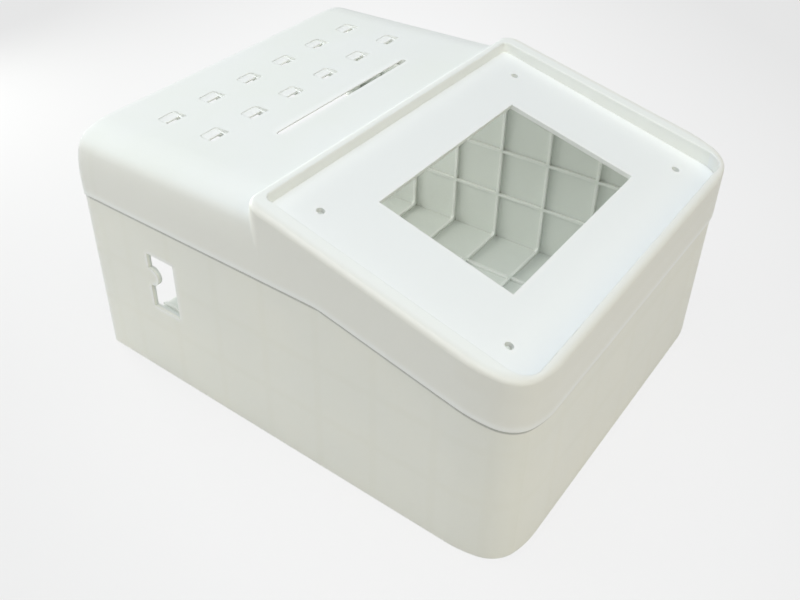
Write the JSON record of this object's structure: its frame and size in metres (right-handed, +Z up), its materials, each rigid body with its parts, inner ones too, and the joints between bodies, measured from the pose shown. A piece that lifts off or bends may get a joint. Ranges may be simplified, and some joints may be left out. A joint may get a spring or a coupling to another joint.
{
  "type": "injection moulded plastic housing",
  "caption": "Two-part moulded instrument housing: deep ribbed tub, vented round-shouldered cover, sloped rimmed display seat with window, open back.",
  "frame": {"origin": "middle of the tub's plan, on the underside", "axes": "+Z up, +Y towards the open back, +X to the right as seen from the display side"},
  "size_m": [0.3184, 0.3612, 0.1982],
  "materials": {
    "white_abs": "fine spark-eroded mould texture, satin",
    "zinc_steel": "zinc plated"
  },
  "bodies": {
    "root": {"base_tub": "white_abs", "top_cover": "white_abs", "cover_screws": "zinc_steel"}
  },
  "joints": []
}
